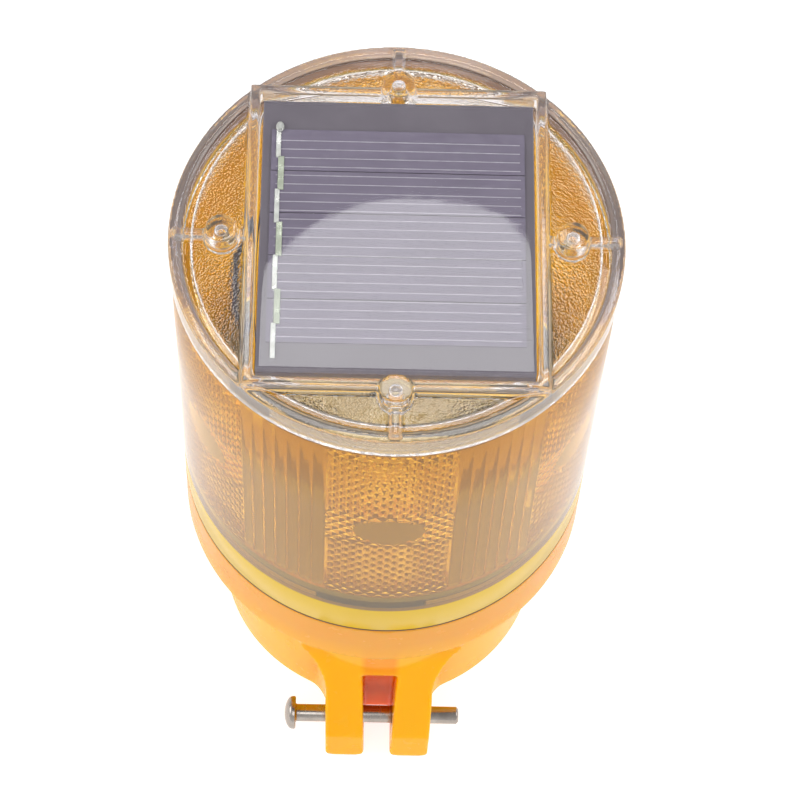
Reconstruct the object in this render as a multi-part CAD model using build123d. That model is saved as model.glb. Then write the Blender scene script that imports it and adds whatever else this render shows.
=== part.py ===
from build123d import *
import os
from math import cos, sin, radians, sqrt

# Solar barricade warning light, standing on its socket rim.
# Z is the light's own axis, the ears point along -Y, the pin lies along X.

# ---- driving dimensions (mm) ----
RIM_TOP = 150.5            # top edge of the clear cap's rim
CAP_SEAM = 144.2           # clear cap meets amber lens
LENS_BOTTOM = 58.5
BASE_TOP = 58.0            # top face of the orange base
SKIRT_BOTTOM = 40.0
SOCKET_DEPTH = 31.0        # socket ceiling above the standing plane

CAP_R = 45.0
LENS_R_TOP = 44.7
LENS_R_BOTTOM = 44.4
SKIRT_R = 44.4
DRUM_R_TOP = 38.0
DRUM_R_BOTTOM = 36.5
SOCKET_R = 33.5
WALL = 2.2

FRAME_X, FRAME_Y = 59.3, 67.8      # rectangular frame round the solar panel, outside
FRAME_WALL = 1.9
FRAME_TOP = RIM_TOP + 2.1
PANEL_X, PANEL_Y = 54.0, 60.7
BOSS_PITCH_R = 34.5
BOSS_R = 3.2

DRUM_FILLET = 2.0          # where the drum meets the skirt
SKIRT_CHAMFER = 2.5

EAR_FRONT = 51.0           # front face of the ears, measured from the axis
EAR_SIDE = 11.8            # outer side face of each ear
EAR_GAP_BOTTOM = 2.95      # half the gap between the ears, at the bottom
EAR_GAP_TOP = 3.9
WEB_R = 43.0               # web that joins the ears under the skirt
WEB_BOTTOM = 31.0
WEB_TOP = SKIRT_BOTTOM + 1.0
GAP_WALL_Y = -38.6         # the wall that closes the gap between the ears at the drum
PIN_Y, PIN_Z = -44.5, 10.0
PIN_R = 2.0
PIN_HOLE_R = 2.15
PIN_SHANK_LEFT = -18.8
PIN_SHANK_RIGHT = 18.5
PIN_HEAD_R, PIN_HEAD_H = 3.8, 2.6

BAY_R = 32.5               # battery bay above the socket
BAY_FLOOR = SOCKET_DEPTH + 2.5
CELL_R, CELL_LENGTH = 7.2, 50.0
CELL_Z = BAY_FLOOR + 1.2 + CELL_R
CELL_Y = CELL_R + 0.45     # each cell's axis, either side of the middle
TRAY_X, TRAY_Y, TRAY_H = 27.4, 16.3, 9.0
TRAY_END = 1.5             # thickness of the tray's end walls
CONTACT_END = TRAY_X - TRAY_END - 0.05
SWITCH_Y = 24.5
SWITCH_TOP = BAY_FLOOR + 9.0
SWITCH_PIN_X, SWITCH_PIN_TOP = 2.2, BAY_FLOOR + 12.0
SEAL_T = 1.0               # rubber washer under the switch
BUTTON_R = 3.0
BUTTON_FACE = SOCKET_DEPTH + 0.2
STEM_R = BUTTON_R - 0.9
STEM_HOLE_R = BUTTON_R - 0.6

COLLAR_R = 41.0            # pale collar that the lens turns on
COLLAR_BOTTOM, COLLAR_TOP = 50.0, 69.5
COLLAR_WALL = 2.4
COLLAR_FLOOR = 2.0
LUG_LOW, LUG_HIGH = 62.0, 65.2
LUG_HALF = 8.0             # degrees
PLATE_R = COLLAR_R - 0.1
PLATE_TOP = 72.0
PLATE_RIM = 2.2            # height of the plate's upstanding rim
SCREW_CIRCLE_R = 36.0      # collar screws and plate screws
COLLAR_SCREW_AT = 30.0     # azimuths in degrees
PLATE_SCREW_AT = 90.0
SCREW_R = 1.15
PILOT_R, CLEAR_R = 1.2, 1.6        # holes the screws bite in, and pass through
LUG_AT = 150.0
LUG_COUNT = 3              # lugs, collar screws and plate screws, 120 degrees apart
THIRD = 360 / LUG_COUNT
TWIST = 20.0               # bayonet travel
TAB_AT = -94.0             # the plate's locating tab
TAB_HALF = 16.0
TAB_LOW = 66.0
BOARD_TOP = 65.2           # control board, hung under the plate
CIRCUIT_T = 1.6            # thickness of the control and LED boards
BOARD_X, BOARD_Y = 19.0, 14.0
POST_X, POST_Y = 16.0, 11.0

LED_Z = 107.1              # height of the six LEDs, at the lens windows
LED_COUNT = 6
LED_BOARD_TOP = LED_Z - 2.7
LED_R, LED_FLANGE_R = 2.5, 2.68
COLUMN_R, COLUMN_BORE_R = 8.5, 7.0
COLUMN_FOOT_R, COLUMN_FOOT_H = 13.0, 2.0

PLATE_UP = RIM_TOP - 0.5   # upper face of the clear top plate
PANEL_FLOOR = RIM_TOP - 3.0
PANEL_SEAT = PANEL_FLOOR + 1.4
PANEL_BASE = PANEL_FLOOR + 1.5
PANEL_TOP = RIM_TOP + 1.7
BOARD_T = 1.3
SILICON_T = 0.3
RIBBON_T = 0.15
CELL_STRIPS = 5
CELL_HALF_Y = 24.2
STRIP_PITCH = 2 * CELL_HALF_Y / CELL_STRIPS
CELL_LEFT, CELL_RIGHT = -25.2, 25.2
LEAD_X, LEAD_Y = -15.0, 22.5       # where the panel's lead leaves its board


ARC_SAG = 0.29             # share of its radius by which a quarter arc stands in from the corner


# ---- small helpers ----
def disc(r, z0, z1, x=0.0, y=0.0):
    """Upright cylinder from z0 to z1."""
    return Pos(x, y, z0) * Cylinder(r, z1 - z0, align=(Align.CENTER, Align.CENTER, Align.MIN))


def ring(r_out, r_in, z0, z1):
    return disc(r_out, z0, z1) - disc(r_in, z0 - 1, z1 + 1)


def block(x0, x1, y0, y1, z0, z1):
    centre = Pos((x0 + x1) / 2, (y0 + y1) / 2, (z0 + z1) / 2)
    return centre * Box(x1 - x0, y1 - y0, z1 - z0)


def polar(r, degrees):
    return r * cos(radians(degrees)), r * sin(radians(degrees))


def sector(r_out, r_in, z0, z1, start, end):
    """Part of a ring between two azimuths, in degrees."""
    far = 2 * r_out
    middle = (start + end) / 2
    wedge_pts = [(0, 0), polar(far, start), polar(far, middle), polar(far, end)]
    wedge = extrude(make_face(Polyline(*wedge_pts, close=True)), z1 - z0)
    return ring(r_out, r_in, z0, z1) & (Pos(0, 0, z0) * wedge)


def turned(points):
    """Solid of revolution about Z from (r, z) points."""
    outline = Plane.XZ * make_face(Polyline(*points, close=True))
    return revolve(outline, Axis.Z)


def along_x(r, x0, x1, y, z):
    return Pos((x0 + x1) / 2, y, z) * Rot(0, 90, 0) * Cylinder(r, x1 - x0)


def wire(points, radii, r):
    """Round wire along straight runs joined by tangent arcs."""
    path = FilletPolyline(*points, radius=radii)
    start = Plane(origin=path @ 0, z_dir=path % 0)
    return sweep(start * Circle(r), path=path)


def save(name, *shapes):
    solids = []
    for shape in shapes:
        solids.extend(shape.solids())
    body = solids[0] if len(solids) == 1 else Compound(children=solids)
    body.label = name
    export_step(body, f"parts/{name}.step")


# ---- orange base ----
def base_shell():
    """Drum with the socket below, floor, and the skirt with its compartment above."""
    foot = 0.6                 # chamfer at the standing rim
    edge = SKIRT_CHAMFER
    soft = ARC_SAG * edge
    outline = [
        (SOCKET_R, 0), (DRUM_R_BOTTOM - foot, 0), (DRUM_R_BOTTOM, foot),
        (DRUM_R_TOP, SKIRT_BOTTOM - DRUM_FILLET), (DRUM_R_TOP + DRUM_FILLET, SKIRT_BOTTOM),
        (SKIRT_R - edge, SKIRT_BOTTOM), (SKIRT_R - soft, SKIRT_BOTTOM + soft),
        (SKIRT_R, SKIRT_BOTTOM + edge), (SKIRT_R, BASE_TOP),
        (SKIRT_R - WALL, BASE_TOP), (SKIRT_R - WALL, SKIRT_BOTTOM + WALL),
        (BAY_R, SKIRT_BOTTOM + WALL), (BAY_R, BAY_FLOOR),
        (0, BAY_FLOOR), (0, SOCKET_DEPTH), (SOCKET_R, SOCKET_DEPTH),
    ]
    return turned(outline)


def ear_front_view():
    """Right half of the front outline of the ears and their web, as a face in X and Z."""
    corner = 1.5
    bulge = ARC_SAG * corner
    flare_foot, flare_middle = (12.1, 22.0), (13.6, 32.5)
    flare_half = 18.0
    outer, inner = EAR_SIDE, EAR_GAP_BOTTOM
    edges = [
        Line((0, WEB_TOP), (flare_half, WEB_TOP)),
        Line((flare_half, WEB_TOP), (flare_half, SKIRT_BOTTOM)),
        ThreePointArc((flare_half, SKIRT_BOTTOM), flare_middle, flare_foot),
        Line(flare_foot, (outer, corner)),
        ThreePointArc((outer, corner), (outer - bulge, bulge), (outer - corner, 0)),
        Line((outer - corner, 0), (inner + corner, 0)),
        ThreePointArc((inner + corner, 0), (inner + bulge, bulge), (inner, corner)),
        Line((inner, corner), (EAR_GAP_TOP, WEB_BOTTOM)),
        Line((EAR_GAP_TOP, WEB_BOTTOM), (0, WEB_BOTTOM)),
        Line((0, WEB_BOTTOM), (0, WEB_TOP)),
    ]
    return make_face(Wire(edges))


def ear_pair():
    """Both ears and the web over them, with the hole for the pin."""
    past = 60.0                # beyond everything the ears reach
    right = extrude(Plane.XZ * ear_front_view(), past)
    pair = right + mirror(right, Plane.YZ)
    knee = (-EAR_FRONT + 0.5, 10.5)    # the front face is upright below this and leans back above
    root_y, top_y = -34.0, -40.6
    side_view = [(root_y, 0), (-EAR_FRONT, 0), knee, (top_y, WEB_TOP), (root_y, WEB_TOP)]
    side = extrude(Plane.YZ * make_face(Polyline(*side_view, close=True)), past, both=True)
    web = disc(WEB_R, WEB_BOTTOM, WEB_TOP)
    web &= block(-past, past, -past, root_y, WEB_BOTTOM, WEB_TOP)
    pair &= side + web
    return pair - along_x(PIN_HOLE_R, -past, past, PIN_Y, PIN_Z)


def ear_root_fillets():
    """Upright concave fillets between the ears' outer sides and the drum."""
    r = 10.0
    bite = 0.4                 # the hollow runs this far into both walls
    centre_x = EAR_SIDE + r - bite
    centre_y = -sqrt((DRUM_R_BOTTOM + r - bite) ** 2 - centre_x ** 2)
    reach_x, reach_y = 5.0, 8.5        # where the filling ends, inside the ear and the drum
    fill = block(EAR_SIDE - 2, EAR_SIDE + reach_x, centre_y + 1, centre_y + reach_y, 0, WEB_TOP)
    fill -= disc(r, -1, WEB_TOP + 1, centre_x, centre_y)
    return fill + mirror(fill, Plane.YZ)


def base_housing():
    """Drum, skirt and ears, with three posts for the collar and the hole for the button."""
    post_r = 3.2
    pilot_bottom = SKIRT_BOTTOM + 2.4
    gap_half = EAR_GAP_TOP + 2
    body = base_shell() + ear_pair() + ear_root_fillets()
    body += block(-gap_half, gap_half, GAP_WALL_Y, -SOCKET_R + 0.5, 0, SKIRT_BOTTOM)
    body -= disc(SOCKET_R, -1, SOCKET_DEPTH)
    for k in range(LUG_COUNT):
        x, y = polar(SCREW_CIRCLE_R, COLLAR_SCREW_AT + THIRD * k)
        body += disc(post_r, WEB_TOP, COLLAR_BOTTOM, x, y)
        body -= disc(PILOT_R, pilot_bottom, COLLAR_BOTTOM + 1, x, y)
    body -= disc(BUTTON_R + 0.5, SOCKET_DEPTH - 1, BAY_FLOOR + 1, 0, SWITCH_Y)
    return body


# ---- collar, plate and seal that carry the head ----
def lens_collar():
    """Pale ring screwed to the base, with bayonet lugs and screw bosses."""
    inner_r = COLLAR_R - COLLAR_WALL
    floor_top = COLLAR_BOTTOM + COLLAR_FLOOR
    flange_in_r = 33.0
    lug_r = COLLAR_R + 1.6
    boss_r, pilot_depth = 3.1, 9.0
    notch_low = TAB_LOW - 0.2
    body = ring(SKIRT_R - WALL - 0.2, inner_r, COLLAR_BOTTOM, BASE_TOP - 2)
    body += ring(COLLAR_R, inner_r, COLLAR_BOTTOM, COLLAR_TOP)
    body += ring(inner_r + 0.4, flange_in_r, COLLAR_BOTTOM, floor_top)
    for k in range(LUG_COUNT):
        at = LUG_AT + THIRD * k
        body += sector(lug_r, COLLAR_R - 1, LUG_LOW, LUG_HIGH, at - LUG_HALF, at + LUG_HALF)
        x, y = polar(SCREW_CIRCLE_R, COLLAR_SCREW_AT + THIRD * k)
        body -= disc(CLEAR_R, COLLAR_BOTTOM - 1, floor_top + 1, x, y)
        x, y = polar(SCREW_CIRCLE_R, PLATE_SCREW_AT + THIRD * k)
        body += disc(boss_r, floor_top - 1, COLLAR_TOP, x, y)
        body -= disc(PILOT_R, COLLAR_TOP - pilot_depth, COLLAR_TOP + 1, x, y)
    start, end = TAB_AT - TAB_HALF, TAB_AT + TAB_HALF
    return body - sector(COLLAR_R + 1, inner_r - 1.6, notch_low, COLLAR_TOP + 1, start, end)


def chassis_plate():
    """Grey disc on the collar, with an upstanding rim and a locating tab at the front."""
    wall, tab_wall = 1.9, 2.1
    play = 0.5                 # degrees, at each side of the tab
    start, end = TAB_AT - TAB_HALF + play, TAB_AT + TAB_HALF - play
    post_r, post_pilot_r = 2.6, 1.0
    wire_hole_r = 3.0
    body = disc(PLATE_R, COLLAR_TOP, PLATE_TOP)
    body += ring(PLATE_R, PLATE_R - wall, PLATE_TOP - 1, PLATE_TOP + PLATE_RIM)
    body += sector(PLATE_R, PLATE_R - tab_wall, TAB_LOW, COLLAR_TOP + 1, start, end)
    for k in range(LUG_COUNT):
        x, y = polar(SCREW_CIRCLE_R, PLATE_SCREW_AT + THIRD * k)
        body -= disc(CLEAR_R, COLLAR_TOP - 1, PLATE_TOP + 1, x, y)
    for x, y in board_posts():
        body += disc(post_r, BOARD_TOP, COLLAR_TOP + 0.5, x, y)
        body -= disc(post_pilot_r, BOARD_TOP - 0.2, COLLAR_TOP + 0.5, x, y)
    return body - disc(wire_hole_r, COLLAR_TOP - 1, PLATE_TOP + 1)


def board_posts():
    """Places of the four posts that carry the control board."""
    return [(x, y) for x in (-POST_X, POST_X) for y in (-POST_Y, POST_Y)]


def pan_screw(x, y, seat_z, length, shank_r, up=False):
    """Pan-head screw: head on seat_z, shank downwards, or upwards when up is set."""
    head_r, head_h = 1.9 * shank_r, 1.3 * shank_r
    slot_half, slot_depth = 0.3, 0.6
    screw = disc(shank_r, -length, 0.5) + disc(head_r, 0, head_h)
    screw -= block(-head_r, head_r, -slot_half, slot_half, head_h - slot_depth, head_h + 1)
    if up:
        screw = Rot(180, 0, 0) * screw
    return Pos(x, y, seat_z) * screw


def collar_screws():
    places = [polar(SCREW_CIRCLE_R, COLLAR_SCREW_AT + THIRD * k) for k in range(LUG_COUNT)]
    return [pan_screw(x, y, COLLAR_BOTTOM + COLLAR_FLOOR, 8, SCREW_R) for x, y in places]


def plate_screws():
    places = [polar(SCREW_CIRCLE_R, PLATE_SCREW_AT + THIRD * k) for k in range(LUG_COUNT)]
    return [pan_screw(x, y, PLATE_TOP, 9, SCREW_R) for x, y in places]


def seal_ring():
    """Flat rubber ring on the base's top edge, under the lens."""
    outside, inside, thick = SKIRT_R - 0.3, SKIRT_R - WALL + 0.15, 0.25
    return ring(outside, inside, BASE_TOP, BASE_TOP + thick)


# ---- battery, switch and control board in the base ----
def battery_holder():
    """Open tray for two cells."""
    trough_r = CELL_R + 0.2
    end = TRAY_X - TRAY_END
    body = block(-TRAY_X, TRAY_X, -TRAY_Y, TRAY_Y, BAY_FLOOR, BAY_FLOOR + TRAY_H)
    for y in (-CELL_Y, CELL_Y):
        body -= along_x(trough_r, -end, end, y, CELL_Z)
        body -= block(-end, end, y - trough_r, y + trough_r, CELL_Z, CELL_Z + TRAY_H)
    return body


def battery_cells():
    """Two cells side by side, facing opposite ways."""
    half = CELL_LENGTH / 2
    nub_r, nub_h = 2.6, 1.2
    can = along_x(CELL_R, -half, half - nub_h, 0, CELL_Z)
    cell = can + along_x(nub_r, half - nub_h - 0.1, half, 0, CELL_Z)
    return [Pos(0, CELL_Y, 0) * cell, Pos(0, -CELL_Y, 0) * mirror(cell, Plane.YZ)]


def battery_contacts():
    """Spring contacts and flat contacts at the ends of the cells."""
    near, far = CELL_LENGTH / 2 + 0.05, CONTACT_END
    flat_half = 5.0
    spring_r, spring_in_r = 3.5, 2.7
    flat = block(near, far, -flat_half, flat_half, CELL_Z - flat_half, CELL_Z + flat_half)
    spring = along_x(spring_r, -far, -near, 0, CELL_Z) - along_x(spring_in_r, -TRAY_X, 0, 0, CELL_Z)
    contacts = [Pos(0, CELL_Y, 0) * piece for piece in (flat, spring)]
    return contacts + [Pos(0, -CELL_Y, 0) * mirror(piece, Plane.YZ) for piece in (flat, spring)]


def switch_body():
    """Push switch over the bay floor, open below for the button's stem, with two pins."""
    half_x, half_y = 4.0, 3.6
    pin_half_x, pin_half_y = 0.4, 0.2
    well_top = BAY_FLOOR + 4.6
    y = SWITCH_Y
    body = block(-half_x, half_x, y - half_y, y + half_y, BAY_FLOOR + SEAL_T, SWITCH_TOP)
    body -= disc(STEM_HOLE_R, BAY_FLOOR, well_top, 0, y)
    pin = block(-pin_half_x, pin_half_x, y - pin_half_y, y + pin_half_y, SWITCH_TOP - 0.5, SWITCH_PIN_TOP)
    return body + Pos(-SWITCH_PIN_X, 0, 0) * pin + Pos(SWITCH_PIN_X, 0, 0) * pin


def switch_seal():
    """Rubber washer between the bay floor and the switch."""
    washer_r = 5.0
    return Pos(0, SWITCH_Y, 0) * ring(washer_r, STEM_HOLE_R, BAY_FLOOR, BAY_FLOOR + SEAL_T)


def switch_button():
    """Round button, flush in the socket ceiling; its stem runs up into the switch."""
    cap_t = 1.0
    stem_top = BAY_FLOOR + 2.4
    body = disc(BUTTON_R, BUTTON_FACE, BUTTON_FACE + cap_t, 0, SWITCH_Y)
    return body + disc(STEM_R, BUTTON_FACE + cap_t / 2, stem_top, 0, SWITCH_Y)


def control_board():
    """Board hung under the chassis plate on four posts."""
    hole_r = 1.3
    body = block(-BOARD_X, BOARD_X, -BOARD_Y, BOARD_Y, BOARD_TOP - CIRCUIT_T, BOARD_TOP)
    for x, y in board_posts():
        body -= disc(hole_r, BOARD_TOP - CIRCUIT_T - 1, BOARD_TOP + 1, x, y)
    return body


def board_screws():
    shank_r = 0.98
    return [pan_screw(x, y, BOARD_TOP - CIRCUIT_T, 5, shank_r, up=True) for x, y in board_posts()]


def board_chip():
    half_x, half_y, thick = 4.0, 2.5, 1.8
    low = BOARD_TOP - CIRCUIT_T
    return block(-half_x, half_x, -half_y, half_y, low - thick, low)


def board_parts():
    """Capacitor, coil, transistor and terminal block on the board's underside."""
    low = BOARD_TOP - CIRCUIT_T
    round_x, capacitor_y, coil_y = 10.0, 4.0, -6.0
    coil_r, waist_r = 3.8, 3.2
    capacitor = disc(3.1, low - 8, low, round_x, capacitor_y)
    coil = disc(coil_r, -5, 0) - ring(coil_r + 1, waist_r, -4, -1)
    transistor = block(-2.25, 2.25, -1.75, 1.75, -4.5, 0)
    terminal = block(-3, 3, -2.5, 2.5, -6, 0)
    return [capacitor, Pos(round_x, coil_y, low) * coil, Pos(-9.75, 4.75, low) * transistor,
            Pos(-11, -6.5, low) * terminal]


def battery_leads():
    """Red and black leads from the holder up to the board."""
    lead_r = 0.65
    beside_x = TRAY_X + 0.9    # the leads rise beside the tray
    board_x = POST_X + 1.5
    end_z = BOARD_TOP - CIRCUIT_T - 0.1
    points = [(beside_x, 0, BAY_FLOOR + 4), (beside_x, 0, 49), (24, 0, 56), (board_x, 0, 59.5),
              (board_x, 0, end_z)]
    right = wire(points, [4, 4, 2], lead_r)
    return [mirror(right, Plane.YZ), right]


def switch_leads():
    """Two leads from the switch's pins to the back edge of the board."""
    lead_r = 0.6
    board_y = BOARD_Y - 1.5
    end_z = BOARD_TOP - CIRCUIT_T - 0.1
    points = [(SWITCH_PIN_X, SWITCH_Y, SWITCH_PIN_TOP), (SWITCH_PIN_X, SWITCH_Y, 53),
              (SWITCH_PIN_X, board_y, 58), (SWITCH_PIN_X, board_y, end_z)]
    right = wire(points, [4, 3], lead_r)
    return [mirror(right, Plane.YZ), right]


# ---- LED tower ----
def led_column():
    """Hollow post with a wide foot, carrying the LED board."""
    rib_half, rib_h, first_rib = 0.9, 12.0, 60.0
    body = disc(COLUMN_R, PLATE_TOP, LED_BOARD_TOP - CIRCUIT_T)
    body += disc(COLUMN_FOOT_R, PLATE_TOP, PLATE_TOP + COLUMN_FOOT_H)
    rib = block(0, COLUMN_FOOT_R - 0.5, -rib_half, rib_half, PLATE_TOP + 1, PLATE_TOP + rib_h)
    for k in range(3):
        body += Rot(0, 0, first_rib + 120 * k) * rib
    return body - disc(COLUMN_BORE_R, PLATE_TOP - 1, LED_BOARD_TOP)


def led_board():
    """Round board on the column, with a wire hole near its middle."""
    board_r, hole_r, hole_y = 21.0, 1.5, 7.75
    low = LED_BOARD_TOP - CIRCUIT_T
    return disc(board_r, low, LED_BOARD_TOP) - disc(hole_r, low - 1, LED_BOARD_TOP + 1, 0, hole_y)


def led_lamps():
    """Six round LEDs lying on the board, looking outwards."""
    back, flange_end, dome_centre = 15.5, 16.6, 22.7
    first = 30.0               # degrees, so that none faces straight ahead
    one = along_x(LED_R, flange_end - 0.1, dome_centre, 0, LED_Z)
    one += Pos(dome_centre, 0, LED_Z) * Sphere(LED_R)
    one += along_x(LED_FLANGE_R, back, flange_end, 0, LED_Z)
    return [Rot(0, 0, first + 360 / LED_COUNT * k) * one for k in range(LED_COUNT)]


def panel_socket():
    """Round coaxial socket on the axis, so the head can twist on it."""
    shell_r, bore_r = 4.6, 2.95
    height, floor_t = 9.0, 1.5
    body = disc(shell_r, LED_BOARD_TOP, LED_BOARD_TOP + height)
    return body - disc(bore_r, LED_BOARD_TOP + floor_t, LED_BOARD_TOP + height + 1)


def panel_plug():
    """Plug that turns in the socket: tip, grip and strain relief."""
    tip = LED_BOARD_TOP + 2.2
    grip_low, grip_high, relief_top = tip + 8, tip + 20, tip + 24
    body = disc(2.7, tip, grip_low + 1) + disc(4.2, grip_low, grip_high)
    return body + disc(2.2, grip_high - 0.5, relief_top)


def panel_lead():
    """Lead from the plug, out in a loop under the left of the frame, to the panel."""
    lead_r = 0.8
    start, end = (0, 0, LED_BOARD_TOP + 26.2), (LEAD_X, LEAD_Y, PANEL_FLOOR - 0.2)
    points = [start, (0, 0, 135.5), (-12, -15, 139), (-25, -22, 141), (-31.6, -14, 142.2), (-31.8, -1, 143),
              (-27, 9, 143.5), (-21, LEAD_Y, 143.8), (LEAD_X, LEAD_Y, 144.3), end]
    return wire(points, [4, 6, 5, 7, 7, 6, 4, 2], lead_r)


# ---- head: lens, cap and panel ----
def amber_lens():
    """Amber tube; thicker at the foot, where three bayonet grooves are cut."""
    foot_r, groove_r = COLLAR_R + 0.4, COLLAR_R + 2.0
    foot_top, wall_foot = COLLAR_TOP + 3, COLLAR_TOP + 5
    groove_low, groove_high = LUG_LOW - 0.3, LUG_HIGH + 0.3
    lug_span = 2 * LUG_HALF + 1
    outline = [
        (LENS_R_BOTTOM, LENS_BOTTOM), (LENS_R_TOP, CAP_SEAM), (LENS_R_TOP - WALL, CAP_SEAM),
        (LENS_R_TOP - WALL - 0.3, wall_foot), (foot_r, foot_top), (foot_r, LENS_BOTTOM),
    ]
    body = turned(outline)
    for k in range(LUG_COUNT):
        start = LUG_AT + THIRD * k - LUG_HALF - 0.5
        entry = start - TWIST
        body -= sector(groove_r, COLLAR_R - 1, groove_low, groove_high, entry - 1, start + lug_span)
        body -= sector(groove_r, COLLAR_R - 1, LENS_BOTTOM - 1, groove_high, entry - 1, entry + lug_span)
    return body


def frame_walls():
    """Rectangular wall round the panel; its corners die into the rim."""
    outer = block(-FRAME_X / 2, FRAME_X / 2, -FRAME_Y / 2, FRAME_Y / 2, PANEL_FLOOR, FRAME_TOP)
    inner_x, inner_y = FRAME_X / 2 - FRAME_WALL, FRAME_Y / 2 - FRAME_WALL
    inner = block(-inner_x, inner_x, -inner_y, inner_y, PANEL_SEAT, FRAME_TOP + 1)
    return (outer - inner) & disc(CAP_R, CAP_SEAM, FRAME_TOP + 1)


def clear_cap():
    """Clear cup over the lens, with the panel frame, four bosses and four ribs."""
    wall, plate_t = 2.1, 2.0
    skirt_out, skirt_in, skirt_drop = LENS_R_TOP - WALL - 0.15, LENS_R_TOP - WALL - 1.8, 2.5
    rib_half, rib_top = 0.9, RIM_TOP + 0.85
    boss_low, boss_top = RIM_TOP - 3.2, RIM_TOP + 2.5
    hole_r, hole_top = 1.45, RIM_TOP + 1.4
    lead_hole_r = 1.4
    inner_x, inner_y = FRAME_X / 2 - FRAME_WALL, FRAME_Y / 2 - FRAME_WALL
    body = ring(CAP_R, CAP_R - wall, CAP_SEAM, RIM_TOP)
    body += disc(CAP_R - 0.5, PLATE_UP - plate_t, PLATE_UP)
    body += ring(skirt_out, skirt_in, CAP_SEAM - skirt_drop, PLATE_UP - 1)
    body -= block(-inner_x, inner_x, -inner_y, inner_y, PANEL_SEAT, PLATE_UP + 1)
    body += frame_walls()
    boss = disc(BOSS_R, boss_low, boss_top, BOSS_PITCH_R)
    hole = disc(hole_r, boss_low - 1, hole_top, BOSS_PITCH_R)
    for k in range(4):
        wall_at = FRAME_Y / 2 if k % 2 else FRAME_X / 2
        rib = block(wall_at - 0.5, CAP_R - 1.2, -rib_half, rib_half, PLATE_UP - 1, rib_top)
        body += Rot(0, 0, 90 * k) * (rib + boss)
    for k in range(4):
        body -= Rot(0, 0, 90 * k) * hole
    return body - disc(lead_hole_r, PANEL_FLOOR - 1, PANEL_SEAT + 1, LEAD_X, LEAD_Y)


def solar_board():
    """Backing board of the panel."""
    x, y = PANEL_X / 2, PANEL_Y / 2
    return block(-x, x, -y, y, PANEL_BASE, PANEL_BASE + BOARD_T)


def solar_cells():
    """Strips of silicon, side by side from front to back."""
    z = PANEL_BASE + BOARD_T
    gap = 0.1
    strips = []
    for k in range(CELL_STRIPS):
        y = -CELL_HALF_Y + k * STRIP_PITCH
        strips.append(block(CELL_LEFT, CELL_RIGHT, y + gap, y + STRIP_PITCH - gap, z, z + SILICON_T))
    return strips


def tab_ribbon():
    """Staggered pieces of tinned ribbon that join the strips along the left."""
    z = PANEL_BASE + BOARD_T + SILICON_T
    ribbon_x, stagger, half_wide = -23.6, 0.35, 0.5
    front, back = 0.2, 0.6     # how far a piece stands in from the strip's front and back
    pieces = []
    for k in range(CELL_STRIPS):
        x = ribbon_x + (stagger if k % 2 else -stagger)
        y = -CELL_HALF_Y + k * STRIP_PITCH
        pieces.append(block(x - half_wide, x + half_wide, y + front, y + STRIP_PITCH - back, z, z + RIBBON_T))
    return pieces


def panel_epoxy():
    """Clear potting over the board; hollow underneath, where the cells and ribbon lie."""
    x, y = PANEL_X / 2, PANEL_Y / 2
    z = PANEL_BASE + BOARD_T
    edge, hollow_h = 0.35, 0.55
    left, right = CELL_LEFT - 0.2, CELL_RIGHT + 0.2
    front, back = -CELL_HALF_Y - 0.7, CELL_HALF_Y + 0.2
    body = block(-x, x, -y, y, z, PANEL_TOP)
    body = chamfer(body.edges().group_by(Axis.Z)[-1], edge)
    return body - block(left, right, front, back, z - 1, z + hollow_h)


# ---- locking pin ----
def locking_pin():
    """Smooth steel pin with a domed head at the left and a chamfered tip at the right."""
    tip_chamfer = 0.4
    dome_r = (PIN_HEAD_R ** 2 + PIN_HEAD_H ** 2) / (2 * PIN_HEAD_H)
    tip = PIN_SHANK_LEFT - PIN_HEAD_H
    shank = along_x(PIN_R, PIN_SHANK_LEFT - 0.5, PIN_SHANK_RIGHT, PIN_Y, PIN_Z)
    shank = chamfer(shank.edges().sort_by(Axis.X)[-1], tip_chamfer)
    dome = Pos(tip + dome_r, PIN_Y, PIN_Z) * Sphere(dome_r)
    dome &= along_x(PIN_HEAD_R + 1, tip - 1, PIN_SHANK_LEFT, PIN_Y, PIN_Z)
    return shank + dome


os.makedirs("parts", exist_ok=True)
save("base_housing", base_housing())
save("lens_collar", lens_collar())
save("chassis_plate", chassis_plate())
save("collar_screws", *collar_screws())
save("plate_screws", *plate_screws())
save("seal_ring", seal_ring())
save("battery_holder", battery_holder())
save("battery_cells", *battery_cells())
save("battery_contacts", *battery_contacts())
save("battery_leads", *battery_leads())
save("switch_body", switch_body())
save("switch_seal", switch_seal())
save("switch_button", switch_button())
save("switch_leads", *switch_leads())
save("control_board", control_board())
save("board_screws", *board_screws())
save("board_chip", board_chip())
save("board_parts", *board_parts())
save("led_column", led_column())
save("led_board", led_board())
save("led_lamps", *led_lamps())
save("panel_socket", panel_socket())
save("panel_plug", panel_plug())
save("panel_lead", panel_lead())
save("amber_lens", amber_lens())
save("clear_cap", clear_cap())
save("solar_board", solar_board())
save("solar_cells", *solar_cells())
save("tab_ribbon", *tab_ribbon())
save("panel_epoxy", panel_epoxy())
save("locking_pin", locking_pin())
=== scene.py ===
import math

import bpy
import numpy as np
from mathutils import Matrix, Vector, noise


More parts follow.
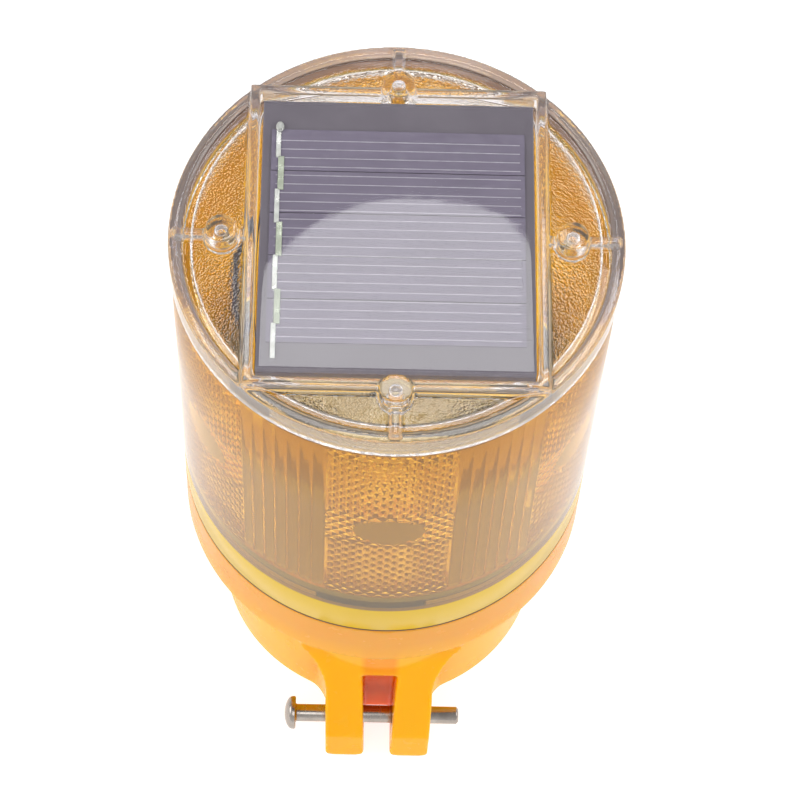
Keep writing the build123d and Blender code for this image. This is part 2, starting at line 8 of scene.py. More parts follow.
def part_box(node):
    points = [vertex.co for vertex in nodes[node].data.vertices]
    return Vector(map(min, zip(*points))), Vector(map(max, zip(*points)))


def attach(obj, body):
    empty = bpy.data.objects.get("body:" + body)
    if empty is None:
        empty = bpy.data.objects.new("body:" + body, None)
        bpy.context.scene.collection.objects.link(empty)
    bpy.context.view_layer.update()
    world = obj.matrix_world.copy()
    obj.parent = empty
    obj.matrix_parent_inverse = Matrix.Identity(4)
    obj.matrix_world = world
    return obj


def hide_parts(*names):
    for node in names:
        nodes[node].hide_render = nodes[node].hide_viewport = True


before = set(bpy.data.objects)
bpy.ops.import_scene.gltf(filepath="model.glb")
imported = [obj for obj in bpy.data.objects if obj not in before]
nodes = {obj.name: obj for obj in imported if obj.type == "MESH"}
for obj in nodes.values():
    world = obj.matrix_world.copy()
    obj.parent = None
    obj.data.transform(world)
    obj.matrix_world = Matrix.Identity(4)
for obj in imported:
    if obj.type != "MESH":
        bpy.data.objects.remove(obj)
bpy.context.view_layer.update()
MM = 0.001


def box_mm(node):
    low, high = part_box(node)
    return low / MM, high / MM


# ---- places, read from the frame (mm) ----
cap_low, cap_high = box_mm("clear_cap")
lens_low, lens_high = box_mm("amber_lens")
base_low, base_high = box_mm("base_housing")
epoxy_low, epoxy_high = box_mm("panel_epoxy")
cells_low, cells_high = box_mm("solar_cells")
pin_low, pin_high = box_mm("locking_pin")
lamps_low, lamps_high = box_mm("led_lamps")
plate_high = box_mm("chassis_plate")[1]
seal_low = box_mm("seal_ring")[0]

# ---- sizes (mm) ----
CAP_R = cap_high.x
CAP_SEAM = cap_low.z + 2.5            # lower edge of the rim's outer wall
RIM_TOP = cap_high.z - 2.5
RIM_THICK = 2.1
PLATE_TOP = RIM_TOP - 0.5
PLATE_THICK = 2.0
FRAME_HALF_X = epoxy_high.x + 2.65    # outside of the clear frame round the panel
FRAME_HALF_Y = epoxy_high.y + 3.55
FRAME_WALL = 1.9
BOSS_AT = 34.5                        # distance of the screw bosses from the light's axis
BOSS_R = 3.2
BOSS_HOLE_R = 1.45
SKIRT_R = base_high.x
SKIRT_WALL = 2.2
LENS_SECTORS = 6
PATCH_DEG = 34.5                      # width of one prism patch
CELLS_ACROSS = 9
FLUTES = 7
RELIEF_LOW = plate_high.z + 0.6
RELIEF_HIGH = lens_high.z - 2.8
RELIEF_R = 42.35                      # inner radius of the lens where its relief starts
PRISM_DEPTH = 0.7
FLUTE_DEPTH = 0.11
WINDOW_HALF_W, WINDOW_HALF_H = 7.4, 5.7
WINDOW_Z = (lamps_low.z + lamps_high.z) / 2
HALF_ROWS = 44                        # half cells up the patch
COLUMN_SPLIT = 3
FLUTE_SPLIT = 6
FOOT_R = 41.4                         # inner radius of the lens's foot
GROOVE_R = 43.0
GROOVE_TOP = 65.5
SHOULDER_Z = plate_high.z + 0.2       # the lens's wall thins above this
FOOT_ROWS = [lens_low.z + 0.25, 60, 61.68, 61.72, 63.5, 65.48, 65.52, 68, 71, SHOULDER_Z - 0.2]
FOOT_Z = 69.1                         # the lens is milky on its outside below this
MILKY_TO = (68.0, 68.8)               # the milky foot fades into the clear band here
BAND_TO = (73.0, 74.5)                # the yellow band fades into the amber here


# ---- mesh helpers ----
def add_piece(name, verts_mm, faces, body, material, stands_for=(), sharp=30):
    """A new object of the row frame, riding on a CAD body."""
    mesh = bpy.data.meshes.new(name)
    mesh.from_pydata([tuple(v) for v in np.asarray(verts_mm, float) * MM], [], faces)
    mesh.validate()
    return dress(name, mesh, body, material, stands_for, sharp)


def dress(name, mesh, body, material, stands_for=(), sharp=30, normals=None):
    mesh.materials.clear()
    mesh.materials.append(material)
    mesh.shade_smooth()
    if normals is None:
        mesh.set_sharp_from_angle(angle=math.radians(sharp))
    else:
        mesh.normals_split_custom_set_from_vertices([tuple(n) for n in normals])
    obj = bpy.data.objects.new(name, mesh)
    bpy.context.scene.collection.objects.link(obj)
    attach(obj, body)
    if stands_for:
        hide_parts(*stands_for)
    return obj


def turned(profile, segments):
    """Vertices and faces of a closed (r, z) outline turned about Z; points with r = 0 become poles."""
    verts, first = [], []
    for r, z in profile:
        first.append(len(verts))
        if r == 0:
            verts.append((0, 0, z))
            continue
        for k in range(segments):
            a = 2 * math.pi * k / segments
            verts.append((r * math.cos(a), r * math.sin(a), z))
    faces = []
    for j in range(len(profile)):
        n = (j + 1) % len(profile)
        if profile[j][0] == 0 and profile[n][0] == 0:
            continue
        for k in range(segments):
            m = (k + 1) % segments
            if profile[j][0] == 0:
                faces.append((first[j], first[n] + m, first[n] + k))
            elif profile[n][0] == 0:
                faces.append((first[j] + k, first[j] + m, first[n]))
            else:
                faces.append((first[j] + k, first[j] + m, first[n] + m, first[n] + k))
    return np.array(verts, float), faces


def remeshed(node, voxel, smooth_rounds):
    """A closed even mesh of a CAD node, with its sharp edges rounded off."""
    mesh = nodes[node].data.copy()
    mesh.materials.clear()
    holder = bpy.data.objects.new("holder", mesh)
    bpy.context.scene.collection.objects.link(holder)
    remesh = holder.modifiers.new("remesh", "REMESH")
    remesh.mode = "VOXEL"
    remesh.voxel_size = voxel * MM
    smooth = holder.modifiers.new("smooth", "SMOOTH")
    smooth.factor = 0.5
    smooth.iterations = smooth_rounds
    graph = bpy.context.evaluated_depsgraph_get()
    made = bpy.data.meshes.new_from_object(holder.evaluated_get(graph))
    bpy.data.objects.remove(holder)
    return made


def thinned(mesh, share):
    """The mesh with fewer triangles, kept where it curves."""
    holder = bpy.data.objects.new("holder", mesh)
    bpy.context.scene.collection.objects.link(holder)
    fewer = holder.modifiers.new("fewer", "DECIMATE")
    fewer.ratio = share
    graph = bpy.context.evaluated_depsgraph_get()
    made = bpy.data.meshes.new_from_object(holder.evaluated_get(graph))
    bpy.data.objects.remove(holder)
    return made


def points_of(mesh):
    co = np.empty(len(mesh.vertices) * 3)
    mesh.vertices.foreach_get("co", co)
    return co.reshape(-1, 3) / MM


def normals_of(mesh):
    n = np.empty(len(mesh.vertices) * 3)
    mesh.vertices.foreach_get("normal", n)
    return n.reshape(-1, 3)


def put_points(mesh, points):
    mesh.vertices.foreach_set("co", (points * MM).ravel())
    mesh.update()


def snap_planes(points, normals, axis, places, reach):
    """Brings the points of each flat face exactly onto its plane."""
    for place in places:
        on = (np.abs(normals[:, axis]) > 0.985) & (np.abs(points[:, axis] - place) < reach)
        points[on, axis] = place
        side = np.sign(normals[on, axis])
        normals[on] = 0
        normals[on, axis] = side


def snap_turned(points, normals, lines, reach, centre=(0, 0)):
    """Brings points onto the cylinders and cones about an upright axis, given as (r0, z0, r1, z1) lines."""
    rel = points[:, :2] - np.array(centre)
    r = np.maximum(np.hypot(rel[:, 0], rel[:, 1]), 1e-6)
    outward = (rel * normals[:, :2]).sum(1) / r
    for r0, z0, r1, z1 in lines:
        slope = (r1 - r0) / (z1 - z0)
        place = r0 + (points[:, 2] - z0) * slope
        level = (outward - slope * normals[:, 2]) / math.hypot(1, slope)
        on = (np.abs(level) > 0.985) & (np.abs(r - place) < reach)
        on &= (points[:, 2] > z0 - reach) & (points[:, 2] < z1 + reach)
        points[on, :2] = np.array(centre) + rel[on] * (place[on] / r[on])[:, None]
        side = np.sign(level[on]) / math.hypot(1, slope)
        normals[on, :2] = rel[on] / r[on, None] * side[:, None]
        normals[on, 2] = -slope * side


# ---- material helpers ----
class Paint:
    """A Principled material and the nodes that feed it."""

    def __init__(self, name, color, **sockets):
        self.material = bpy.data.materials.new(name)
        self.material.use_nodes = True
        self.nodes = self.material.node_tree.nodes
        self.links = self.material.node_tree.links
        self.shader = next(n for n in self.nodes if n.type == "BSDF_PRINCIPLED")
        self.shader.inputs["Base Color"].default_value = (*color, 1)
        for key, value in sockets.items():
            self.shader.inputs[key.replace("_", " ")].default_value = value
        self.place = self.nodes.new("ShaderNodeTexCoord").outputs["Object"]

    def add(self, kind, **settings):
        node = self.nodes.new(kind)
        for key, value in settings.items():
            setattr(node, key, value)
        return node

    def axes(self):
        """The X, Y and Z of the point, in metres."""
        split = self.add("ShaderNodeSeparateXYZ")
        self.links.new(self.place, split.inputs[0])
        return split.outputs

    def mapped(self, scale):
        node = self.add("ShaderNodeMapping")
        node.inputs["Scale"].default_value = scale
        self.links.new(self.place, node.inputs["Vector"])
        return node.outputs["Vector"]

    def noise(self, scale, detail=3.0, rough=0.5, source=None):
        node = self.add("ShaderNodeTexNoise")
        node.inputs["Scale"].default_value = scale
        node.inputs["Detail"].default_value = detail
        node.inputs["Roughness"].default_value = rough
        self.links.new(source or self.place, node.inputs["Vector"])
        return node.outputs["Fac"]

    def cells(self, scale, feature="F1"):
        node = self.add("ShaderNodeTexVoronoi", feature=feature)
        node.inputs["Scale"].default_value = scale
        self.links.new(self.place, node.inputs["Vector"])
        return node.outputs["Distance"]

    def ramp(self, factor, low, high, from_low=0.3, from_high=0.7):
        """A colour that runs from low to high as the factor does."""
        node = self.add("ShaderNodeValToRGB")
        node.color_ramp.elements[0].position = from_low
        node.color_ramp.elements[1].position = from_high
        node.color_ramp.elements[0].color = (*low, 1)
        node.color_ramp.elements[1].color = (*high, 1)
        self.links.new(factor, node.inputs["Fac"])
        return node.outputs["Color"]

    def span(self, factor, low, high, from_low=0.3, from_high=0.7):
        """A number that runs from low to high as the factor does."""
        node = self.add("ShaderNodeMapRange")
        node.inputs["From Min"].default_value = from_low
        node.inputs["From Max"].default_value = from_high
        node.inputs["To Min"].default_value = low
        node.inputs["To Max"].default_value = high
        self.links.new(factor, node.inputs["Value"])
        return node.outputs["Result"]

    def math(self, operation, a, b=None):
        node = self.add("ShaderNodeMath", operation=operation)
        for k, value in enumerate((a, b)):
            if value is None:
                continue
            if isinstance(value, (int, float)):
                node.inputs[k].default_value = value
            else:
                self.links.new(value, node.inputs[k])
        return node.outputs["Value"]

    def times(self, a, b):
        return self.math("MULTIPLY", a, b)

    def above(self, value, limit_mm):
        return self.math("GREATER_THAN", value, limit_mm * MM)

    def below(self, value, limit_mm):
        return self.math("LESS_THAN", value, limit_mm * MM)

    def distance(self, x, y):
        return self.math("SQRT", self.math("ADD", self.times(x, x), self.times(y, y)))

    def mix(self, factor, a, b):
        node = self.add("ShaderNodeMix", data_type="RGBA")
        self.links.new(factor, node.inputs["Factor"])
        self.links.new(a, node.inputs[6])
        self.links.new(b, node.inputs[7])
        return node.outputs[2]

    def color(self, output):
        self.links.new(output, self.shader.inputs["Base Color"])

    def clearness(self, output):
        self.links.new(output, self.shader.inputs["Transmission Weight"])

    def roughness(self, output):
        self.links.new(output, self.shader.inputs["Roughness"])

    def pass_lamps(self, tint):
        """Lets light through to what is inside, tinted at each surface it crosses."""
        clear_way = self.add("ShaderNodeBsdfTransparent")
        clear_way.inputs["Color"].default_value = (*tint, 1)
        rays = self.add("ShaderNodeLightPath")
        surface = self.shader.outputs["BSDF"]
        for kind in ("Is Diffuse Ray", "Is Shadow Ray"):
            switch = self.add("ShaderNodeMixShader")
            self.links.new(rays.outputs[kind], switch.inputs["Fac"])
            self.links.new(surface, switch.inputs[1])
            self.links.new(clear_way.outputs["BSDF"], switch.inputs[2])
            surface = switch.outputs["Shader"]
        out = next(n for n in self.nodes if n.type == "OUTPUT_MATERIAL")
        self.links.new(surface, out.inputs["Surface"])

    def bump(self, height, depth_mm, strength=1.0):
        node = self.add("ShaderNodeBump")
        node.inputs["Strength"].default_value = strength
        node.inputs["Distance"].default_value = depth_mm * MM
        self.links.new(height, node.inputs["Height"])
        self.links.new(node.outputs["Normal"], self.shader.inputs["Normal"])


def moulded(name, low, high, rough, grain=900, **sockets):
    """Injection-moulded plastic: slow colour drift, a fine grain and uneven gloss."""
    paint = Paint(name, low, **sockets)
    paint.color(paint.ramp(paint.noise(40, 2), low, high))
    paint.roughness(paint.span(paint.noise(220, 3), rough * 0.8, rough * 1.2))
    paint.bump(paint.noise(grain, 2), 0.02, 0.4)
    return paint


# ---- materials ----
def orange_plastic():
    """Glossy translucent orange: milky on the thin skirt, deep on the drum, with painted shade on the
    recessed wall between the ears.
    """
    low, high = (1.0, 0.43, 0.001), (1.0, 0.46, 0.002)
    paint = moulded("orange_plastic", low, high, 0.24, 700, IOR=1.49)
    shader = paint.shader.inputs
    shader["Subsurface Weight"].default_value = 0.45
    shader["Subsurface Radius"].default_value = (1.0, 0.4, 0.06)
    shader["Subsurface Scale"].default_value = 0.004
    shader["Specular IOR Level"].default_value = 0.1
    x, y, z = paint.axes()
    skirt = paint.span(z, 0.0, 1.0, 36 * MM, 50 * MM)
    # painted shade: a mask for the recessed wall between the ears, where shade falls
    between = paint.span(paint.math("ABSOLUTE", x), 1.0, 0.0, 3.0 * MM, 4.6 * MM)
    between = paint.times(between, paint.span(y, 0.0, 1.0, -45.5 * MM, -40.5 * MM))
    between = paint.times(between, paint.below(y, -34))
    drift = paint.noise(40, 2)
    # the painted-shade colour, a deeper orange for that recess
    shade = paint.ramp(drift, (0.84, 0.15, 0.0), (0.88, 0.17, 0.001))
    milky = paint.ramp(drift, (0.84, 0.34, 0.035), (0.84, 0.36, 0.045))
    drum = paint.mix(between, paint.ramp(drift, low, high), shade)
    paint.color(paint.mix(skirt, drum, milky))
    return paint.material


def amber(name, clarity, rough):
    """Amber acrylic, yellower in the band over the collar and milky below it."""
    paint = Paint(name, (0.95, 0.57, 0.05), IOR=1.49)
    drift = paint.noise(30, 2)
    body = paint.ramp(drift, (0.97, 0.575, 0.035), (1.0, 0.605, 0.05))
    band = paint.ramp(drift, (0.88, 0.64, 0.05), (0.91, 0.67, 0.07))
    foot = paint.ramp(drift, (0.62, 0.41, 0.015), (0.66, 0.44, 0.025))
    z = paint.axes()[2]
    above_foot = paint.span(z, 0.0, 1.0, MILKY_TO[0] * MM, MILKY_TO[1] * MM)
    above_band = paint.span(z, 0.0, 1.0, BAND_TO[0] * MM, BAND_TO[1] * MM)
    paint.color(paint.mix(above_band, paint.mix(above_foot, foot, band), body))
    paint.clearness(paint.span(above_foot, 0.12, clarity, 0.0, 1.0))
    paint.pass_lamps((0.97, 0.8, 0.4))
    paint.roughness(paint.span(paint.noise(260, 3), rough * 0.7, rough * 1.3))
    paint.bump(paint.noise(500, 2), 0.01, 0.3)
    return paint.material


def foot_plastic():
    """The milky yellow outside of the lens's foot."""
    paint = moulded("amber_foot", (0.7, 0.45, 0.008), (0.75, 0.49, 0.012), 0.2, 500, IOR=1.49)
    paint.shader.inputs["Specular IOR Level"].default_value = 0.12
    return paint.material


def cap_clear():
    """Clear acrylic: a pebbled field, milky lavender-white thick edges as a painted highlight, and a painted
    shadow line at the seam.
    """
    paint = Paint("cap_clear", (0.99, 0.99, 0.985), IOR=1.49)
    grain = paint.times(paint.cells(2100), pebble_zone(paint))
    drift = paint.noise(30, 2)
    plate = paint.ramp(grain, (1.0, 0.99, 1.0), (0.97, 0.86, 0.7), 0.2, 0.75)
    # painted highlight: lavender-white colour for the rim and frame, in place of the white reflections they
    # catch
    edge = paint.ramp(drift, (0.97, 0.955, 1.0), (0.98, 0.965, 1.0))
    # painted shadow: the dark colour of the seam line under the rim
    line = paint.ramp(drift, (0.12, 0.07, 0.05), (0.16, 0.1, 0.07))
    at_edge, at_boss, at_seam = edge_zone(paint), boss_zone(paint), seam_zone(paint)
    paint.color(paint.mix(at_seam, paint.mix(at_edge, plate, edge), line))
    # painted highlight: the thick edges and bosses are clouded whiter to stand in for their highlights
    milk = paint.times(at_edge, paint.span(at_boss, 0.13, 0.06, 0.0, 1.0))
    # the seam's painted shadow is made nearly opaque
    milk = paint.math("MAXIMUM", milk, paint.times(at_seam, 0.95))
    paint.clearness(paint.math("SUBTRACT", 1.0, milk))
    paint.roughness(paint.span(paint.noise(300, 3), 0.015, 0.05))
    paint.bump(grain, 0.07, 1.0)
    paint.pass_lamps((0.97, 0.97, 0.97))
    return paint.material


def edge_zone(paint):
    """1 in the rim wall and above the plate, where the painted highlight goes; 0 in the plate."""
    x, y, z = paint.axes()
    rim = paint.above(paint.distance(x, y), CAP_R - RIM_THICK - 0.3)
    return paint.math("MAXIMUM", rim, paint.above(z, PLATE_TOP + 0.1))


def seam_zone(paint):
    """1 on the shadowed lowest edge of the rim's outer wall, 0 elsewhere."""
    x, y, z = paint.axes()
    outer = paint.above(paint.distance(x, y), CAP_R - 0.8)
    return paint.times(outer, paint.below(z, CAP_SEAM + 0.5))


def boss_zone(paint):
    """1 in the four screw bosses, 0 elsewhere."""
    x, y = (paint.math("ABSOLUTE", axis) for axis in paint.axes()[:2])
    far, near = paint.math("MAXIMUM", x, y), paint.math("MINIMUM", x, y)
    off = paint.math("SUBTRACT", far, BOSS_AT * MM)
    return paint.below(paint.distance(off, near), BOSS_R + 0.2)


def pebble_zone(paint):
    """1 under the plate's textured field, less on its top, 0 on the rim, the frame and the bosses."""
    x, y, z = paint.axes()
    inside = paint.below(paint.distance(x, y), CAP_R - 2 * RIM_THICK)
    level = paint.span(z, 1.0, 0.4, (PLATE_TOP - 1.1) * MM, (PLATE_TOP - 0.9) * MM)
    level = paint.times(level, paint.below(z, PLATE_TOP + 0.1))
    out_x = paint.above(paint.math("ABSOLUTE", x), FRAME_HALF_X)
    out_y = paint.above(paint.math("ABSOLUTE", y), FRAME_HALF_Y)
    return paint.times(paint.times(inside, level), paint.math("MAXIMUM", out_x, out_y))


def epoxy_clear():
    paint = Paint("epoxy_clear", (0.98, 0.975, 0.99), IOR=1.52)
    paint.shader.inputs["Transmission Weight"].default_value = 1.0
    paint.roughness(paint.span(paint.noise(240, 4), 0.012, 0.035))
    scratch = paint.noise(60, 2, 0.5, paint.mapped((1.0, 22.0, 1.0)))
    paint.bump(scratch, 0.012, 0.025)
    paint.pass_lamps((0.98, 0.98, 0.98))
    return paint.material


def silicon():
    paint = Paint("silicon", (0.15, 0.12, 0.19), Roughness=0.35)
    drift = paint.ramp(paint.noise(45, 3), (0.185, 0.16, 0.225), (0.215, 0.185, 0.26))
    grain = paint.noise(900, 1, 0.5, paint.mapped((0.1, 1.0, 1.0)))
    streak = paint.ramp(grain, (0.18, 0.155, 0.215), (0.215, 0.185, 0.26))
    paint.color(paint.mix(paint.noise(15, 1), drift, streak))
    paint.roughness(paint.span(paint.noise(700, 2), 0.28, 0.42))
    paint.bump(paint.noise(1600, 2), 0.01, 0.3)
    return paint.material


def panel_back():
    paint = Paint("panel_back", (0.12, 0.1, 0.13), Roughness=0.5)
    paint.color(paint.ramp(paint.noise(60, 4), (0.17, 0.15, 0.18), (0.2, 0.18, 0.21)))
    warp, weft = (paint.noise(1400, 1, 0.5, paint.mapped(scale)) for scale in ((1, 0.1, 1), (0.1, 1, 1)))
    paint.bump(paint.times(warp, weft), 0.02, 0.5)
    paint.roughness(paint.span(paint.noise(300, 2), 0.4, 0.6))
    return paint.material


def tinned(name, low, high):
    paint = Paint(name, high, Metallic=0.6)
    paint.color(paint.ramp(paint.noise(350, 3), low, high))
    paint.roughness(paint.span(paint.noise(600, 3), 0.22, 0.5))
    paint.bump(paint.noise(900, 3), 0.03, 0.5)
    return paint.material


def silver_ink():
    paint = Paint("finger_silver", (0.55, 0.53, 0.6), Metallic=0.2)
    paint.color(paint.ramp(paint.noise(500, 2), (0.46, 0.44, 0.5), (0.62, 0.6, 0.66)))
    paint.roughness(paint.span(paint.noise(900, 2), 0.35, 0.6))
    return paint.material


def pin_steel():
    paint = Paint("pin_steel", (0.63, 0.6, 0.57), Metallic=1.0)
    paint.color(paint.ramp(paint.noise(180, 4), (0.34, 0.3, 0.27), (0.5, 0.46, 0.42)))
    turning = paint.noise(2500, 2, 0.5, paint.mapped((1.0, 0.05, 0.05)))
    paint.roughness(paint.span(turning, 0.14, 0.3))
    paint.bump(turning, 0.01, 0.4)
    return paint.material


def screw_steel():
    paint = Paint("screw_steel", (0.6, 0.6, 0.6), Metallic=1.0)
    paint.color(paint.ramp(paint.noise(500, 3), (0.5, 0.5, 0.5), (0.68, 0.68, 0.66)))
    paint.roughness(paint.span(paint.noise(900, 2), 0.22, 0.4))
    return paint.material


def circuit_board(name, track, mask, mask_light):
    """Solder mask over tracks that run as a net of thin lines."""
    paint = Paint(name, mask, Roughness=0.4)
    copper = paint.ramp(paint.cells(260, "DISTANCE_TO_EDGE"), track, mask, 0.04, 0.07)
    solder_mask = paint.ramp(paint.noise(90, 3), mask, mask_light)
    paint.color(paint.mix(paint.noise(20, 1), copper, solder_mask))
    paint.bump(paint.noise(1500, 1), 0.01, 0.3)
    return paint.material


def cell_wrap():
    """Shrink wrap of the battery cells, green with a darker band at the ends."""
    paint = Paint("cell_wrap", (0.1, 0.35, 0.2), Roughness=0.3)
    band = paint.above(paint.math("ABSOLUTE", paint.axes()[0]), 19)
    green = paint.ramp(paint.noise(120, 3), (0.06, 0.3, 0.16), (0.1, 0.4, 0.22))
    dark = paint.ramp(paint.noise(120, 3), (0.03, 0.03, 0.03), (0.06, 0.06, 0.06))
    paint.color(paint.mix(band, green, dark))
    paint.bump(paint.noise(300, 4), 0.03, 0.4)
    return paint.material


def led_clear():
    paint = Paint("led_clear", (0.98, 0.97, 0.9), IOR=1.5)
    paint.shader.inputs["Transmission Weight"].default_value = 0.7
    paint.pass_lamps((0.9, 0.9, 0.85))
    paint.roughness(paint.span(paint.noise(500, 2), 0.08, 0.2))
    paint.color(paint.ramp(paint.noise(400, 2), (0.95, 0.92, 0.78), (1.0, 0.98, 0.9)))
    return paint.material


def rubber(name, low, high):
    paint = Paint(name, low)
    paint.color(paint.ramp(paint.noise(200, 4), low, high))
    paint.roughness(paint.span(paint.noise(600, 3), 0.55, 0.8))
    paint.bump(paint.noise(2000, 3), 0.02, 0.6)
    return paint.material


orange = orange_plastic()
amber_skin = amber("amber_clear", 0.96, 0.06)
amber_relief = amber("amber_prism", 0.84, 0.05)
amber_foot = foot_plastic()
clear = cap_clear()
epoxy = epoxy_clear()
cell_face = silicon()
board_back = panel_back()
tin = tinned("contact_metal", (0.62, 0.64, 0.58), (0.86, 0.88, 0.84))
tin_dull = tinned("dull_tin", (0.42, 0.47, 0.36), (0.55, 0.6, 0.48))
ink = silver_ink()
steel = pin_steel()
screws = screw_steel()
board_green = circuit_board("circuit_board", (0.1, 0.3, 0.12), (0.02, 0.13, 0.05), (0.03, 0.16, 0.07))
board_white = circuit_board("lamp_board", (0.5, 0.47, 0.43), (0.62, 0.6, 0.56), (0.7, 0.68, 0.64))
wrap = cell_wrap()
lamp = led_clear()
pale = moulded("pale_plastic", (0.78, 0.77, 0.66), (0.86, 0.85, 0.76), 0.4).material
grey = moulded("grey_plastic", (0.06, 0.055, 0.05), (0.09, 0.085, 0.08), 0.45).material
black = moulded("black_plastic", (0.02, 0.02, 0.022), (0.04, 0.04, 0.042), 0.4).material
seal_black = rubber("seal_rubber", (0.1, 0.05, 0.03), (0.14, 0.07, 0.05))
button_grey = rubber("button_rubber", (0.05, 0.05, 0.055), (0.08, 0.08, 0.085))
sheath = rubber("lead_sheath", (0.03, 0.03, 0.05), (0.06, 0.055, 0.08))

CAD_FINISH = {
    "lens_collar": pale, "led_column": pale, "chassis_plate": grey, "collar_screws": screws,
    "plate_screws": screws, "board_screws": screws, "switch_seal": seal_black,
    "battery_holder": black, "switch_body": black, "board_chip": black, "board_parts": black,
    "panel_socket": black, "panel_plug": black, "battery_cells": wrap, "battery_contacts": tin,
    "battery_leads": sheath, "switch_leads": sheath, "panel_lead": sheath, "switch_button": button_grey,
    "control_board": board_green, "led_board": board_white, "solar_board": board_back,
    "led_lamps": lamp, "solar_cells": cell_face,
}
for node, material in CAD_FINISH.items():
    for k in range(len(nodes[node].data.materials)):
        nodes[node].data.materials[k] = material


# ---- orange base ----
def make_base():
    """The housing with its moulded edges rounded and its turned walls true."""
    mesh = remeshed("base_housing", 0.42, 9)
    skirt_low, skirt_top = 42, base_high.z
    drum_low, drum_top = 0.6, 38
    bore_r, bore_top = 33.5, 31
    walls = [(SKIRT_R, skirt_low, SKIRT_R, skirt_top),
             (SKIRT_R - SKIRT_WALL, skirt_low, SKIRT_R - SKIRT_WALL, skirt_top),
             (bore_r, 0, bore_r, bore_top), (36.5, drum_low, 38, drum_top)]

    def settled(reach):
        points, normals = points_of(mesh), normals_of(mesh)
        snap_turned(points, normals, walls, reach)
        snap_planes(points, normals, 2, (base_high.z, base_low.z), reach)
        points[:, 2] = np.maximum(points[:, 2], base_low.z)
        put_points(mesh, points)
        return normals

    settled(0.3)
    mesh = thinned(mesh, 0.5)
    names = ["base_housing"]
    return dress("orange_base", mesh, "base", orange, names, normals=settled(0.1))


def make_seal():
    """Rubber ring on the skirt's top edge, rounded where it shows under the lens."""
    z0, z1 = seal_low.z, seal_low.z + 0.42
    r0, r1 = SKIRT_R - 2.05, SKIRT_R - 0.04
    outline = [(r0, z0), (r1 - 0.06, z0), (r1, z0 + 0.06), (r1, z1 - 0.06), (r1 - 0.06, z1), (r0, z1)]
    verts, faces = turned(outline, 360)
    return add_piece("seal_band", verts, faces, "base", seal_black, ["seal_ring"], 60)


# ---- amber lens ----
def lens_columns():
    """Azimuth, patch coordinate and flute coordinate of each column of the lens."""
    rows = []
    patch_steps = 2 * CELLS_ACROSS * COLUMN_SPLIT
    flute_steps = FLUTES * FLUTE_SPLIT
    gap = 360 / LENS_SECTORS - PATCH_DEG
    for s in range(LENS_SECTORS):
        centre = -90 + 360 / LENS_SECTORS * s
        for k in range(patch_steps):
            share = k / patch_steps
            rows.append((centre + (share - 0.5) * PATCH_DEG, share * 2 * CELLS_ACROSS, -1.0))
        for k in range(flute_steps):
            share = k / flute_steps
            rows.append((centre + PATCH_DEG / 2 + share * gap, -1.0, share * FLUTES))
    return rows


def lens_rows():
    """Heights of the relief's rows, finer at the ends and across the windows."""
    step = (RELIEF_HIGH - RELIEF_LOW) / HALF_ROWS
    heights = []
    for k in range(HALF_ROWS):
        low = RELIEF_LOW + k * step
        near_end = k < 2 or k >= HALF_ROWS - 2
        near_window = abs(low + step / 2 - WINDOW_Z) < WINDOW_HALF_H + 1.5
        parts = 3 if near_end or near_window else 1
        heights += [low + step * p / parts for p in range(parts)]
    return heights + [RELIEF_HIGH]


def prism_height(u, v):
    """0 at the valleys and 1 at the tips of diamond pyramids; u and v count half cells."""
    a, b = (u + v) / 2, (u - v) / 2
    return 1 - 2 * max(abs(a - round(a)), abs(b - round(b)))


def flute_height(f, z):
    """Long flat-topped bars with soft sides and rounded ends."""
    half = 1.15
    across = (f - math.floor(f) - 0.5) * 2.7
    past = max(0.0, z - (RELIEF_HIGH - half - 0.3), (RELIEF_LOW + half + 0.3) - z)
    inside = 1 - (across ** 2 + past ** 2) / half ** 2
    return min(1.0, 1.6 * math.sqrt(max(0.0, inside)))


def groove(azimuth, z):
    """True inside one of the three bayonet grooves in the lens's foot."""
    entry, travel, floor_z = 18, 21, 61.7
    for k in range(3):
        start = 141.5 - travel + 120 * k
        turn = (azimuth - start) % 360
        if turn <= entry and z <= GROOVE_TOP:
            return True
        if turn <= 38 and floor_z <= z <= GROOVE_TOP:
            return True
    return False


def relief_height(u, f, z):
    """How far the relief stands in from the lens's inner wall."""
    if u < 0:
        return FLUTE_DEPTH * flute_height(f, z)
    v = (z - RELIEF_LOW) / (RELIEF_HIGH - RELIEF_LOW) * HALF_ROWS
    across = (u / (2 * CELLS_ACROSS) - 0.5) * math.radians(PATCH_DEG) * RELIEF_R
    oval = math.hypot(across / WINDOW_HALF_W, (z - WINDOW_Z) / WINDOW_HALF_H)
    return PRISM_DEPTH * prism_height(u, v) if oval > 1.0 and u > 0 else 0.0


def lens_outline(azimuth, u, f, rows):
    """The lens's section at one azimuth, from the foot up the inside and down the outside."""
    low_z, high_z = lens_low.z, lens_high.z - 0.15
    r_low, r_high = lens_high.x - 0.3, lens_high.x
    line = [(43.3 if groove(azimuth, low_z) else 41.7, low_z)]
    line += [(GROOVE_R if groove(azimuth, z) else FOOT_R, z) for z in FOOT_ROWS]
    line.append((RELIEF_R - 0.1, SHOULDER_Z + 0.2))
    for z in rows:
        height = 0.0 if z in (rows[0], rows[-1]) else relief_height(u, f, z)
        line.append((RELIEF_R - height, z))
    line += [(RELIEF_R + 0.1, RELIEF_HIGH + 0.25), (RELIEF_R + 0.1, high_z - 0.3), (RELIEF_R + 0.35, high_z)]
    line += [(r_high - 0.3, high_z), (r_high - 0.08, high_z - 0.08), (r_high, high_z - 0.3),
             (r_high - 0.1, 115), (r_high - 0.2, 87), (r_high - 0.26, FOOT_Z)]
    return line + [(r_low, low_z + 0.3), (r_low - 0.08, low_z + 0.08), (r_low - 0.3, low_z)]


